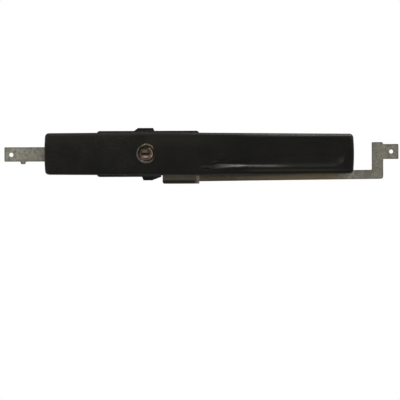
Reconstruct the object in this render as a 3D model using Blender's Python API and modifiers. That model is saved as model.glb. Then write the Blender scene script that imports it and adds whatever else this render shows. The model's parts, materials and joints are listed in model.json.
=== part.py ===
"""Two-way locking handle for a roller garage door.

Every piece is drawn in the lock's own layout: X to the right, Y up the door and Z out
towards the person who faces the handle, with Z zero on the door. One empty, lock_frame,
stands that layout up, so the handle faces minus Y in the world.
"""
import math

import bmesh
import bpy
from mathutils import Matrix, Vector

MM = 0.001

# Clearances
FIT = 0.3 * MM
SLIDE_FIT = 0.5 * MM
TURN_FIT = 0.6 * MM
PIN_FIT = 0.2 * MM
TAIL_FIT = 0.1 * MM
CUT_OVER = 1.0 * MM

# Turning group
DRIVE_RADIUS = 14.5 * MM
PIN_RADIUS = 2.0 * MM
PIN_STAND = 1.1 * MM
PIN_CHAMFER = 0.3 * MM
TURN_START = math.radians(45.0)
SWING_ERROR_SHARE = 0.03
ROTOR_THICK = 2.8 * MM
ROTOR_RIM = 0.8 * MM
ROTOR_RADIUS = DRIVE_RADIUS + PIN_RADIUS + ROTOR_RIM
EAR_SIDE = 7.0 * MM
EAR_TAIL = math.radians(27.5)
TOP_EAR = ((-11.6 * MM, 3.1 * MM), (-7.5 * MM, 6.1 * MM), (6.2 * MM, 6.1 * MM), (7.5 * MM, 2.9 * MM))
LOW_EAR = ((13.3 * MM, 3.5 * MM), (5.0 * MM, 6.6 * MM), (-2.8 * MM, 6.6 * MM), (-4.2 * MM, 3.1 * MM))
TANG_HALF = 2.7 * MM
SPINDLE_RADIUS = 4.0 * MM
BUSH_WALL = 1.6 * MM
BUSH_FLANGE = 1.7 * MM
BUSH_FLANGE_THICK = 0.6 * MM
FLANGE_THICK = 2.2 * MM
FLANGE_HALF_LENGTH = 10.6 * MM
FLANGE_HALF_WIDTH = 4.5 * MM
FLANGE_SCREW_EDGE = 0.2 * MM
WASHER_THICK = 0.5 * MM

# Housing
HOUSING_LEFT = -44.6 * MM
HOUSING_RIGHT = 47.7 * MM
HOUSING_WALL = 2.2 * MM
HOUSING_ROOM_ABOVE = 1.2 * MM
HOUSING_ROOM_BELOW = 1.25 * MM
HOUSING_TOP = ROTOR_RADIUS + HOUSING_ROOM_ABOVE + HOUSING_WALL
HOUSING_BOTTOM = -(ROTOR_RADIUS + HOUSING_ROOM_BELOW + HOUSING_WALL)
HOUSING_DEPTH = 13.2 * MM
HOUSING_CORNER = 2.6 * MM
HOUSING_INNER_CORNER = 0.4 * MM
HOUSING_EDGE = 1.0 * MM
STEP_OUTER_CORNER = 1.0 * MM
STEP_INNER_CORNER = 0.6 * MM
STEP_LEFT = 12.5 * MM
STEP_RISE = 3.9 * MM
STEP_BOTTOM = HOUSING_BOTTOM + STEP_RISE
BOSS_RADIUS = 3.3 * MM
BOSS_INSET = 5.6 * MM
LOW_BOSS_RISE = 8.0 * MM

# Back plate
PLATE_THICK = 2.0 * MM
PLATE_LEFT = -71.0 * MM
PLATE_TOP = HOUSING_TOP - 2.2 * MM
PLATE_BOTTOM = HOUSING_BOTTOM + 2.5 * MM
PLATE_HOLE_RADIUS = 7.5 * MM
PLATE_CORNER = 2.5 * MM
FIXING_HOLE_RADIUS = 2.2 * MM
FIXING_INSET = 5.5 * MM
FIXING_RISE = 12.0 * MM
FIXING_HOLES = (
    (PLATE_LEFT + FIXING_INSET, FIXING_RISE), (PLATE_LEFT + FIXING_INSET, -FIXING_RISE),
    (31.0 * MM, FIXING_RISE), (-29.0 * MM, -13.5 * MM),
)

# Lever
LEVER_LEFT = -91.4 * MM
LEVER_RIGHT = 186.7 * MM
LEVER_THICK = 20.3 * MM
LEVER_WALL = 2.3 * MM
LEVER_BOW = 0.8 * MM
LEVER_CORNER = 3.6 * MM
LEVER_EDGE_DEPTH = 4.0 * MM
LEVER_END_EDGE = 2.4 * MM
LEVER_LOW_EDGE = 4.0 * MM
LEVER_TOP_EDGES = (
    (LEVER_LEFT, 3.6 * MM), (0.0, 3.0 * MM), (48.0 * MM, 2.8 * MM), (LEVER_RIGHT, 4.6 * MM),
)
LEVER_TOPS = (
    (LEVER_LEFT, 18.7 * MM), (0.0, 19.1 * MM), (48.0 * MM, 18.7 * MM), (LEVER_RIGHT, 17.3 * MM),
)
LEVER_BOTTOMS = (
    (LEVER_LEFT, -18.6 * MM), (0.0, -19.4 * MM), (40.0 * MM, -19.8 * MM), (LEVER_RIGHT, -18.5 * MM),
)
RIB_THICK = 2.0 * MM
CENTRE_POCKET_HALF = 19.0 * MM
POCKET_CORNER = 1.5 * MM
LEVER_BOSS_RADIUS = 12.0 * MM
LEFT_POCKET_COUNT = 2
RIGHT_POCKET_COUNT = 5
DISH_DEPTH = 3.6 * MM
DISH_FADE = 0.45
DISH_START = 50.0 * MM
DISH_RIM = (
    (50.0, -14.6), (62.0, -14.0), (75.0, -13.0), (92.0, -12.6), (120.0, -12.4), (150.0, -12.4),
    (168.0, -12.1), (176.0, -9.6), (179.0, -3.0), (178.4, 5.0), (172.0, 10.8), (156.0, 12.2),
    (130.0, 13.0), (108.0, 12.8), (90.0, 9.6), (72.0, 0.0), (58.0, -9.0),
)
DISH_CENTRE = (130.0 * MM, -6.2 * MM)
DISH_FLOOR_SCALE = (0.82, 0.28)
DISH_STEPS = (0.0, 0.12, 0.28, 0.5, 0.75, 1.0)
DISH_LIP_SHARE = -0.04
DISH_STEEP_BELOW = -10.0 * MM
DISH_EASY_ABOVE = 4.0 * MM
DISH_EASY_SHARE = 0.85

# Lock cylinder
BEZEL_RADIUS = 8.8 * MM
BEZEL_PROUD = 0.6 * MM
BEZEL_THICK = 3.4 * MM
BEZEL_LIP = 1.5 * MM
BEZEL_EDGE = 0.35 * MM
BEZEL_WEB = 0.5 * MM
BEZEL_LEDGE = 0.8 * MM
BEZEL_SLOPE = 0.2 * MM
CYLINDER_WALL = 2.1 * MM
PLUG_RADIUS = 5.2 * MM
PLUG_NOSE_RADIUS = 4.7 * MM
PLUG_SET_BACK = 1.9 * MM
PLUG_EDGE = 0.3 * MM
KEYWAY_WIDTH = 7.2 * MM
KEYWAY_HEIGHT = 1.7 * MM
KEYWAY_DEPTH = 9.0 * MM
TAIL_CRANK = 3.2 * MM
TAIL_RADIUS = 1.1 * MM
BOLT_THICK = 2.4 * MM
BOLT_HALF_WIDTH = 2.5 * MM
BOLT_TOP = 5.2 * MM
BOLT_BACK = -6.0 * MM
BOLT_TIP_GAP = 0.6 * MM
BOLT_TINE = 1.6 * MM
BOLT_EDGE = 0.2 * MM
BOLT_FLANGE_GAP = 2.0 * MM
RING_INNER = 13.0 * MM
RING_OUTER = 15.5 * MM

# Locking bars
BAR_THICK = 2.4 * MM
COIN_DEPTH = 0.2 * MM
LEFT_TIP = -128.1 * MM
LEFT_BAR_TOP = 6.45 * MM
LEFT_BAR_BOTTOM = -6.6 * MM
LEFT_HOLE = (-121.9 * MM, -0.4 * MM)
LEFT_HOLE_RADIUS = 1.95 * MM
LEFT_COIN = -115.5 * MM
LUG_CENTRE = -111.2 * MM
LUG_HALF = 2.6 * MM
LUG_TOE_SHARE = 0.75
LUG_DROP = 2.3 * MM
LEFT_NECK_BOTTOM = -3.5 * MM
LEFT_NECK_RUN = 2.5 * MM
LEFT_SHOULDER_GAP = 1.4 * MM
LEFT_SHOULDER_RUN = 11.0 * MM
HEEL_GAP = 1.0 * MM
RIGHT_STRIP_HEIGHT = 8.2 * MM
STRIP_DROP = 8.1 * MM
RIGHT_STRIP_BOTTOM = STEP_BOTTOM - STRIP_DROP
RIGHT_RISE = 1.65 * MM
RIGHT_LEG_LEFT = 203.3 * MM
RIGHT_LEG_RIGHT = 213.6 * MM
RIGHT_LEG_TOP = 9.85 * MM
RIGHT_LEG_TAPER = 0.6 * MM
RIGHT_TAB_TOP = 8.1 * MM
RIGHT_TAB_BOTTOM = -5.45 * MM
RIGHT_TIP = 227.4 * MM
RIGHT_HOLE = (220.8 * MM, 1.3 * MM)
RIGHT_HOLE_RADIUS = 1.85 * MM
RIGHT_COIN_INSET = 2.0 * MM
RIGHT_SHOULDER_INSET = 5.9 * MM
RIGHT_SHOULDER_RUN = 11.0 * MM
TOE_GAP = 3.0 * MM
TOE_RUN = 3.0 * MM
FORK_TINE = 3.3 * MM
FORK_TOP_GAP = 0.7 * MM
FORK_CLEAR = 0.8 * MM
BAR_EDGE = 0.15 * MM
TIP_CORNER = 0.8 * MM
TINE_CORNER = 0.4 * MM
SLOT_CORNER = 1.2 * MM
HEEL_CORNER = 1.0 * MM
NECK_CORNER = 1.5 * MM
LUG_CORNER = 0.5 * MM
LEG_CORNER = 2.2 * MM
TAB_CORNER = 0.6 * MM

# Bar guides
BRACKET_LEFT = 14.5 * MM
BRACKET_THICK = 1.5 * MM
BRACKET_ROOM = 0.6 * MM
BRACKET_BOTTOM = RIGHT_STRIP_BOTTOM - BRACKET_ROOM - BRACKET_THICK
BRACKET_TOP = STEP_BOTTOM - SLIDE_FIT
BRACKET_CORNER = 2.4 * MM
CORNER_BITE = 0.1 * MM
CORNER_START = math.radians(-25.0)
CORNER_SWEEP = math.radians(140.0)
BEND_SHARE = 0.85
STRAP_LEFT = -58.0 * MM
STRAP_RIGHT = -48.0 * MM
STRAP_THICK = 1.2 * MM
STRAP_FOOT = 5.6 * MM

# Fasteners
SCREW_RADIUS = 1.6 * MM
SCREW_HEAD_RADIUS = 3.0 * MM
SCREW_LENGTH = 9.5 * MM
SCREW_POINT_SHARE = 0.6
CROSS_DEPTH = 0.9 * MM
CROSS_REACH_SHARE = 0.62
CROSS_WIDTH_SHARE = 0.22
CROSS_TIP_SHARE = 0.85
SMALL_SCREW_RADIUS = 1.1 * MM
SMALL_HEAD_RADIUS = 2.0 * MM
RIVET_RADIUS = 1.2 * MM
RIVET_HEAD_RADIUS = 2.2 * MM
RIVET_HEAD = 0.8 * MM
RIVET_DOME = ((0.55, 0.85), (0.9, 0.5))
END_WASHER_RADIUS = 6.0 * MM
END_WASHER_THICK = 0.7 * MM
END_HEAD_RADIUS = 3.6 * MM
END_HEAD = 0.8 * MM
END_RIM_SHARE = 0.6
END_CROWN_SHARE = 0.85
END_CROSS_SHARE = 0.4
END_SCREW_COVER = 3.0 * MM

# Facets
ROUND_STEPS = 40
SMALL_STEPS = 16
BOW_STEPS = 8
ARC_STEPS = 12
CORNER_STEPS = 10
EDGE_STEPS = 5
RIM_ANGLE = math.radians(60.0)

# Levels out from the door, worked out from the sizes above
ROTOR_REAR = PLATE_THICK + SLIDE_FIT
ROTOR_FRONT = ROTOR_REAR + ROTOR_THICK
BAR_REAR = ROTOR_FRONT + TURN_FIT
BAR_FRONT = BAR_REAR + BAR_THICK
PIN_FRONT = BAR_FRONT + PIN_STAND
HOUSING_REAR = PLATE_THICK + FIT
HOUSING_FRONT = HOUSING_REAR + HOUSING_DEPTH
HOUSING_INNER = HOUSING_FRONT - HOUSING_WALL
BUSH_REAR = PIN_FRONT + FIT
BUSH_FRONT = HOUSING_FRONT + FIT + BUSH_FLANGE_THICK
WASHER_REAR = HOUSING_FRONT + FIT
WASHER_FRONT = WASHER_REAR + WASHER_THICK
LEVER_BOSS_REAR = WASHER_FRONT + FIT
LEVER_REAR = HOUSING_FRONT + TURN_FIT
LEVER_FRONT = LEVER_REAR + LEVER_THICK
LEVER_INNER = LEVER_FRONT - LEVER_WALL
FLANGE_REAR = BUSH_FRONT + SLIDE_FIT
FLANGE_FRONT = FLANGE_REAR + FLANGE_THICK
BOLT_REAR = FLANGE_FRONT + BOLT_FLANGE_GAP
BOLT_FRONT = BOLT_REAR + BOLT_THICK
CYLINDER_REAR = BOLT_FRONT + 2.0 * FIT
RING_FRONT = BOLT_FRONT + SLIDE_FIT
BEZEL_FRONT = LEVER_FRONT + BEZEL_PROUD
BEZEL_REAR = BEZEL_FRONT - BEZEL_THICK
CYLINDER_FRONT = BEZEL_REAR - 2.0 * FIT

# Sizes that follow from the mechanism
PLUG_BORE = PLUG_RADIUS + FIT
CYLINDER_RADIUS = PLUG_BORE + CYLINDER_WALL
BUSH_BORE = SPINDLE_RADIUS + FIT
BUSH_RADIUS = BUSH_BORE + BUSH_WALL
PIN_X = DRIVE_RADIUS * math.sin(TURN_START)
PIN_Y = DRIVE_RADIUS * math.cos(TURN_START)
BAR_THROW = 2.0 * PIN_X
TAIL_X = TAIL_CRANK * math.sin(TURN_START)
TAIL_Y = TAIL_CRANK * math.cos(TURN_START)
BOLT_THROW = 2.0 * TAIL_X
SLOT_SLACK = SWING_ERROR_SHARE * DRIVE_RADIUS + FIT
SLOT_HALF = PIN_RADIUS + SLOT_SLACK
SLOT_ROOT = PIN_Y - PIN_RADIUS - SLIDE_FIT
FORK_HEEL = SPINDLE_RADIUS + FORK_CLEAR
FORK_TOP = HOUSING_TOP - HOUSING_WALL - FORK_TOP_GAP
BOLT_TIP = RING_INNER - BOLT_TIP_GAP
TAIL_SLOT_HALF = TAIL_RADIUS + SWING_ERROR_SHARE * TAIL_CRANK + FIT
END_SCREW_TIP = HOUSING_FRONT - END_SCREW_COVER
EAR_REACH = max(math.hypot(x, ROTOR_RADIUS + rise) for x, rise in TOP_EAR + LOW_EAR) + SLIDE_FIT
EAR_WINDOW_HALF = math.sqrt(EAR_REACH ** 2 - (HOUSING_TOP - HOUSING_WALL) ** 2)


def clear_scene():
    for item in list(bpy.data.objects):
        bpy.data.objects.remove(item, do_unlink=True)


def new_collection(name):
    group = bpy.data.collections.new(name)
    bpy.context.scene.collection.children.link(group)
    return group


def new_material(name, colour, roughness, metallic):
    made = bpy.data.materials.new(name)
    made.use_nodes = True
    shader = made.node_tree.nodes["Principled BSDF"]
    shader.inputs["Base Color"].default_value = (*colour, 1.0)
    shader.inputs["Roughness"].default_value = roughness
    shader.inputs["Metallic"].default_value = metallic
    made.diffuse_color = (*colour, 1.0)
    return made


clear_scene()
PARTS = new_collection("garage_door_lock_handle")
CUTTERS = new_collection("cutters")


def lever_plastic():
    return new_material("lever_black_plastic", (0.014, 0.013, 0.012), 0.38, 0.0)


def housing_plastic():
    return new_material("housing_black_plastic", (0.016, 0.015, 0.013), 0.52, 0.0)


def rotor_black():
    return new_material("rotor_black_coat", (0.018, 0.017, 0.015), 0.45, 0.0)


def bar_zinc():
    return new_material("bar_galvanised_steel", (0.30, 0.28, 0.24), 0.48, 1.0)


def plate_zinc():
    return new_material("plate_galvanised_steel", (0.34, 0.32, 0.28), 0.50, 1.0)


def bracket_steel():
    return new_material("bracket_dull_steel", (0.12, 0.11, 0.095), 0.50, 1.0)


def cylinder_bronze():
    return new_material("cylinder_bronze", (0.22, 0.13, 0.075), 0.35, 1.0)


def plug_bronze():
    return new_material("plug_bright_bronze", (0.36, 0.23, 0.15), 0.30, 1.0)


def spindle_steel():
    return new_material("spindle_bright_steel", (0.42, 0.41, 0.39), 0.34, 1.0)


def fastener_steel():
    return new_material("fastener_zinc_steel", (0.50, 0.50, 0.48), 0.36, 1.0)


def bush_resin():
    return new_material("bush_pale_resin", (0.52, 0.49, 0.40), 0.55, 0.0)


def new_empty(name, parent, location=(0.0, 0.0, 0.0)):
    made = bpy.data.objects.new(name, None)
    made.empty_display_size = 0.02
    made.parent = parent
    made.location = location
    PARTS.objects.link(made)
    return made


def add_piece(name, mesh, parent, surface, location=(0.0, 0.0, 0.0)):
    made = bpy.data.objects.new(name, mesh)
    mesh.materials.append(surface)
    made.parent = parent
    made.location = location
    PARTS.objects.link(made)
    return made


def add_cutter(name, mesh, parent, location=(0.0, 0.0, 0.0)):
    made = bpy.data.objects.new(name, mesh)
    made.parent = parent
    made.location = location
    made.display_type = "WIRE"
    made.hide_render = True
    CUTTERS.objects.link(made)
    return made


def combine(piece, tool, operation="DIFFERENCE"):
    step = piece.modifiers.new(tool.name, "BOOLEAN")
    step.operation = operation
    step.solver = "EXACT"
    step.object = tool


def bevel_edges(piece, width):
    step = piece.modifiers.new("edges", "BEVEL")
    step.width = width
    step.segments = 1
    step.limit_method = "ANGLE"
    step.angle_limit = math.radians(40.0)


def smooth(piece, angle=35.0):
    piece.data.shade_smooth()
    piece.data.set_sharp_from_angle(angle=math.radians(angle))


def circle(centre, radius, steps=SMALL_STEPS):
    turns = [2.0 * math.pi * i / steps for i in range(steps)]
    return [(centre[0] + radius * math.cos(a), centre[1] + radius * math.sin(a)) for a in turns]


def box_loop(left, bottom, right, top):
    return [(left, bottom), (right, bottom), (right, top), (left, top)]


def round_corners(corners, steps=4):
    """Turn (x, y, radius) corners into a loop with an arc at each corner."""
    loop = []
    count = len(corners)
    for i, (x, y, radius) in enumerate(corners):
        here = Vector((x, y))
        if radius <= 0.0:
            loop.append((x, y))
            continue
        back = (Vector(corners[i - 1][:2]) - here).normalized()
        ahead = (Vector(corners[(i + 1) % count][:2]) - here).normalized()
        half = back.angle(ahead) / 2.0
        start = here + back * (radius / math.tan(half))
        end = here + ahead * (radius / math.tan(half))
        middle = here + (back + ahead).normalized() * (radius / math.sin(half))
        first = start - middle
        sweep = first.angle_signed(end - middle)
        for k in range(steps + 1):
            turn = Matrix.Rotation(-sweep * k / steps, 2)
            point = middle + turn @ first
            loop.append((point.x, point.y))
    return loop


def rounded_box(left, bottom, right, top, radius, steps=4):
    return round_corners([(x, y, radius) for x, y in box_loop(left, bottom, right, top)], steps)


def fill_outline(name, loops, low, high):
    """Fill flat loops, which may hold holes, and thicken them from low to high."""
    curve = bpy.data.curves.new(name, "CURVE")
    curve.dimensions = "2D"
    curve.fill_mode = "BOTH"
    curve.extrude = (high - low) / 2.0
    for loop in loops:
        spline = curve.splines.new("POLY")
        spline.points.add(len(loop) - 1)
        for point, (x, y) in zip(spline.points, loop):
            point.co = (x, y, 0.0, 1.0)
        spline.use_cyclic_u = True
    holder = bpy.data.objects.new(name, curve)
    bpy.context.scene.collection.objects.link(holder)
    bpy.context.view_layer.update()
    graph = bpy.context.evaluated_depsgraph_get()
    mesh = bpy.data.meshes.new_from_object(holder.evaluated_get(graph))
    bpy.data.objects.remove(holder, do_unlink=True)
    mesh.name = name
    form = bmesh.new()
    form.from_mesh(mesh)
    bmesh.ops.remove_doubles(form, verts=form.verts, dist=1e-6)
    bmesh.ops.dissolve_limit(form, angle_limit=math.radians(0.5), verts=form.verts, edges=form.edges)
    bmesh.ops.translate(form, verts=form.verts, vec=(0.0, 0.0, (high + low) / 2.0))
    bmesh.ops.recalc_face_normals(form, faces=form.faces)
    form.to_mesh(mesh)
    form.free()
    return mesh


def folded_sheet(name, section, left, right):
    """Extrude a section, drawn as (up, out) points, from left to right."""
    mesh = fill_outline(name, [section], left, right)
    mesh.transform(Matrix(((0, 0, 1, 0), (1, 0, 0, 0), (0, 1, 0, 0), (0, 0, 0, 1))))
    return mesh


def profile_mesh(name, profile, closed):
    mesh = bpy.data.meshes.new(name)
    last = len(profile) - 1
    edges = [(i, i + 1) for i in range(last)]
    if closed:
        edges.append((last, 0))
    mesh.from_pydata([(radius, 0.0, level) for radius, level in profile], edges, [])
    return mesh


def turn_profile(item, steps):
    step = item.modifiers.new("turn", "SCREW")
    step.axis = "Z"
    step.angle = 2.0 * math.pi
    step.steps = steps
    step.render_steps = steps
    step.use_merge_vertices = True
    step.merge_threshold = 0.00001
    step.use_smooth_shade = True


def turned_mesh(name, profile, closed, steps=SMALL_STEPS):
    """Turn a profile into a plain mesh, with flats kept sharp."""
    holder = bpy.data.objects.new(name, profile_mesh(name, profile, closed))
    bpy.context.scene.collection.objects.link(holder)
    turn_profile(holder, steps)
    bpy.context.view_layer.update()
    graph = bpy.context.evaluated_depsgraph_get()
    mesh = bpy.data.meshes.new_from_object(holder.evaluated_get(graph))
    bpy.data.objects.remove(holder, do_unlink=True)
    mesh.name = name
    return mesh


def solid_turn(name, profile, steps=SMALL_STEPS):
    return turned_mesh(name, profile, False, steps)


def hollow_turn(name, profile, steps=SMALL_STEPS):
    return turned_mesh(name, profile, True, steps)


def rod(name, radius, low, high, steps=SMALL_STEPS, chamfer=0.0):
    profile = [(0.0, high), (radius - chamfer, high)]
    if chamfer > 0.0:
        profile += [(radius, high - chamfer), (radius, low + chamfer)]
    profile += [(radius - chamfer, low), (0.0, low)]
    return solid_turn(name, profile, steps)


def block(name, left, bottom, low, right, top, high):
    mesh = bpy.data.meshes.new(name)
    form = bmesh.new()
    size = (right - left, top - bottom, high - low)
    centre = ((right + left) / 2.0, (top + bottom) / 2.0, (high + low) / 2.0)
    bmesh.ops.create_cube(form, size=1.0)
    bmesh.ops.scale(form, verts=form.verts, vec=size)
    bmesh.ops.translate(form, verts=form.verts, vec=centre)
    form.to_mesh(mesh)
    form.free()
    return mesh


def loft(name, rows):
    """Join loops of equally many points, one above the other, into one closed mesh."""
    form = bmesh.new()
    rings = [[form.verts.new(point) for point in row] for row in rows]
    count = len(rings[0])
    for lower, upper in zip(rings, rings[1:]):
        for i in range(count):
            j = (i + 1) % count
            form.faces.new((lower[i], lower[j], upper[j], upper[i]))
    form.faces.new(rings[0])
    form.faces.new(rings[-1])
    bmesh.ops.triangulate(form, faces=form.faces)
    bmesh.ops.recalc_face_normals(form, faces=form.faces)
    mesh = bpy.data.meshes.new(name)
    form.to_mesh(mesh)
    form.free()
    return mesh


def line_at(points, x):
    for (x0, y0), (x1, y1) in zip(points, points[1:]):
        if x <= x1:
            return y0 + (y1 - y0) * (x - x0) / (x1 - x0)
    return points[-1][1]


def back_plate_outline():
    foot_bottom = BRACKET_BOTTOM + FIT
    return round_corners([
        (PLATE_LEFT, PLATE_BOTTOM, PLATE_CORNER),
        (BRACKET_LEFT, PLATE_BOTTOM, 0.0),
        (BRACKET_LEFT, foot_bottom, PLATE_CORNER),
        (HOUSING_RIGHT, foot_bottom, PLATE_CORNER),
        (HOUSING_RIGHT, PLATE_TOP, PLATE_CORNER),
        (PLATE_LEFT, PLATE_TOP, PLATE_CORNER),
    ])


def housing_screw_places():
    left = HOUSING_LEFT + BOSS_INSET
    right = HOUSING_RIGHT - BOSS_INSET
    top = HOUSING_TOP - BOSS_INSET
    return (
        (left, top), (left, HOUSING_BOTTOM + BOSS_INSET),
        (right, top), (right, STEP_BOTTOM + LOW_BOSS_RISE),
    )


def bracket_rivet_places():
    level = (BRACKET_BOTTOM + PLATE_BOTTOM) / 2.0
    inset = (HOUSING_RIGHT - BRACKET_LEFT) / 4.0
    return ((BRACKET_LEFT + inset, level), (HOUSING_RIGHT - inset, level))


def strap_rivet_places():
    middle = (STRAP_LEFT + STRAP_RIGHT) / 2.0
    reach = SLIDE_FIT + STRAP_THICK + STRAP_FOOT / 2.0
    return ((middle, LEFT_BAR_TOP + reach), (middle, LEFT_BAR_BOTTOM - reach))


def build_back_plate(root, surface):
    holes = [circle((0.0, 0.0), PLATE_HOLE_RADIUS, ROUND_STEPS)]
    holes += [circle(place, FIXING_HOLE_RADIUS) for place in FIXING_HOLES]
    rivets = bracket_rivet_places() + strap_rivet_places()
    holes += [circle(place, RIVET_RADIUS + FIT) for place in rivets]
    mesh = fill_outline("back_plate", [back_plate_outline()] + holes, 0.0, PLATE_THICK)
    plate = add_piece("back_plate", mesh, root, surface)
    reach = SCREW_HEAD_RADIUS + FIT
    slope = SCREW_HEAD_RADIUS - SCREW_RADIUS
    sink = solid_turn("screw_sink", [
        (0.0, PLATE_THICK + CUT_OVER), (SCREW_RADIUS + FIT, PLATE_THICK + CUT_OVER),
        (SCREW_RADIUS + FIT, slope), (reach, 0.0), (reach, -CUT_OVER), (0.0, -CUT_OVER),
    ])
    for number, place in enumerate(housing_screw_places(), 1):
        tool = add_cutter(f"screw_sink_{number}", sink, root, (*place, 0.0))
        combine(plate, tool)
    smooth(plate)
    return plate


def housing_outline(inset):
    corner = max(HOUSING_CORNER - inset, HOUSING_INNER_CORNER)
    left = HOUSING_LEFT + inset
    right = HOUSING_RIGHT - inset
    top = HOUSING_TOP - inset
    bottom = HOUSING_BOTTOM + inset
    step = STEP_LEFT - inset
    step_bottom = STEP_BOTTOM + inset
    return round_corners([
        (left, bottom, corner), (step, bottom, STEP_OUTER_CORNER), (step, step_bottom, STEP_INNER_CORNER),
        (right, step_bottom, corner), (right, top, corner), (left, top, corner),
    ])


def build_housing(root, surface):
    outside = fill_outline("base_housing", [housing_outline(0.0)], HOUSING_REAR, HOUSING_FRONT)
    weigh_front(outside, HOUSING_FRONT)
    housing = add_piece("base_housing", outside, root, surface)
    bevel_weighted(housing, HOUSING_EDGE, 3)
    ring = hollow_turn("lock_ring_form", [
        (RING_OUTER, RING_FRONT), (RING_OUTER, HOUSING_INNER + HOUSING_WALL / 2.0),
        (RING_INNER, HOUSING_INNER + HOUSING_WALL / 2.0), (RING_INNER, RING_FRONT),
    ], ROUND_STEPS)
    combine(housing, add_cutter("lock_ring_form", ring, root), "UNION")
    bosses = [circle(place, BOSS_RADIUS) for place in housing_screw_places()]
    low = HOUSING_REAR - CUT_OVER
    inside = housing_outline(HOUSING_WALL)
    rear_room = fill_outline("housing_rear_room", [inside] + bosses, low, BUSH_REAR + FIT)
    combine(housing, add_cutter("housing_rear_room", rear_room, root))
    collar = circle((0.0, 0.0), BUSH_RADIUS + FIT + HOUSING_WALL, ROUND_STEPS)
    front_room = fill_outline("housing_front_room", [inside, collar] + bosses, BUSH_REAR, HOUSING_INNER)
    combine(housing, add_cutter("housing_front_room", front_room, root))
    bore = rod("bush_bore", BUSH_RADIUS + FIT, BUSH_REAR - CUT_OVER, RING_FRONT, ROUND_STEPS)
    combine(housing, add_cutter("bush_bore", bore, root))
    for number, place in enumerate(housing_screw_places(), 1):
        pilot = rod(f"pilot_{number}", SCREW_RADIUS + FIT, low, SCREW_LENGTH + FIT)
        combine(housing, add_cutter(f"pilot_{number}", pilot, root, (*place, 0.0)))
    cut_housing_openings(housing, root, low)
    smooth(housing)
    return housing


def cut_housing_openings(housing, root, low):
    bar_low = BAR_FRONT + SLIDE_FIT
    ear_low = ROTOR_FRONT + SLIDE_FIT
    inner_left = HOUSING_LEFT + HOUSING_WALL
    openings = {
        "left_bar_slot": block(
            "left_bar_slot", HOUSING_LEFT - CUT_OVER, LEFT_BAR_BOTTOM - SLIDE_FIT, low,
            inner_left + CUT_OVER, LEFT_BAR_TOP + SLIDE_FIT, bar_low),
        "ear_window": block(
            "ear_window", -EAR_WINDOW_HALF, HOUSING_BOTTOM - CUT_OVER, low,
            EAR_WINDOW_HALF, HOUSING_TOP + CUT_OVER, ear_low),
        "right_bar_opening": block(
            "right_bar_opening", STEP_LEFT - HOUSING_WALL - CUT_OVER, STEP_BOTTOM - 2.0 * CUT_OVER, low,
            HOUSING_RIGHT + CUT_OVER, STEP_BOTTOM + HOUSING_WALL + SLIDE_FIT, bar_low + FIT),
        "bolt_notch_right": block(
            "bolt_notch_right", RING_INNER - CUT_OVER, -BOLT_HALF_WIDTH - SLIDE_FIT, BOLT_REAR - SLIDE_FIT,
            RING_OUTER + CUT_OVER, BOLT_HALF_WIDTH + SLIDE_FIT, RING_FRONT + CUT_OVER),
        "bolt_notch_low": block(
            "bolt_notch_low", -BOLT_HALF_WIDTH - SLIDE_FIT, -RING_OUTER - CUT_OVER, BOLT_REAR - SLIDE_FIT,
            BOLT_HALF_WIDTH + SLIDE_FIT, -RING_INNER + CUT_OVER, RING_FRONT + CUT_OVER),
    }
    for name, mesh in openings.items():
        combine(housing, add_cutter(name, mesh, root))


def weigh_front(mesh, level):
    """Mark the rim edges that lie on one level for the weighted bevel."""
    weights = mesh.attributes.new("bevel_weight_edge", "FLOAT", "EDGE")
    form = bmesh.new()
    form.from_mesh(mesh)
    for edge in form.edges:
        on_level = all(abs(v.co.z - level) < 1e-6 for v in edge.verts)
        if on_level and edge.calc_face_angle(0.0) > RIM_ANGLE:
            weights.data[edge.index].value = 1.0
    form.free()


def bevel_weighted(piece, width, segments):
    step = piece.modifiers.new("front_edge", "BEVEL")
    step.width = width
    step.segments = segments
    step.limit_method = "WEIGHT"
    step.use_clamp_overlap = True


def build_bush(root, surface):
    flange = BUSH_RADIUS + BUSH_FLANGE
    mesh = hollow_turn("pivot_bush", [
        (flange, BUSH_FRONT), (flange, HOUSING_FRONT + FIT), (BUSH_RADIUS, HOUSING_FRONT + FIT),
        (BUSH_RADIUS, BUSH_REAR), (BUSH_BORE, BUSH_REAR), (BUSH_BORE, BUSH_FRONT),
    ], ROUND_STEPS)
    bush = add_piece("pivot_bush", mesh, root, surface)
    smooth(bush)
    return bush


def build_washer(root, surface):
    inner = BUSH_RADIUS + BUSH_FLANGE + SLIDE_FIT
    outer = LEVER_BOSS_RADIUS - FIT
    mesh = hollow_turn("friction_washer", [
        (outer, WASHER_FRONT), (outer, WASHER_REAR), (inner, WASHER_REAR), (inner, WASHER_FRONT),
    ], ROUND_STEPS)
    washer = add_piece("friction_washer", mesh, root, surface)
    smooth(washer)
    return washer


def countersunk_mesh(name, head, shank, length):
    depth = head - shank
    point = shank * SCREW_POINT_SHARE
    return solid_turn(name, [
        (0.0, length), (point, length), (shank, length - point), (shank, depth), (head, 0.0), (0.0, 0.0),
    ])


def cross_mesh(name, arm, low, high):
    half = arm * CROSS_WIDTH_SHARE
    end = half * CROSS_TIP_SHARE
    return fill_outline(name, [[
        (-arm, -end), (-half, -half), (-end, -arm), (end, -arm), (half, -half), (arm, -end),
        (arm, end), (half, half), (end, arm), (-end, arm), (-half, half), (-arm, end),
    ]], low, high)


def build_housing_screws(root, surface):
    length = SCREW_LENGTH - FIT
    mesh = countersunk_mesh("housing_screw", SCREW_HEAD_RADIUS, SCREW_RADIUS, length)
    cross = cross_mesh("cross_recess", SCREW_HEAD_RADIUS * CROSS_REACH_SHARE, -CUT_OVER, CROSS_DEPTH)
    for number, (x, y) in enumerate(housing_screw_places(), 1):
        screw = add_piece(f"housing_screw_{number}", mesh.copy(), root, surface, (x, y, FIT))
        combine(screw, add_cutter(f"cross_recess_{number}", cross, root, (x, y, FIT)))
        smooth(screw)


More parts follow.
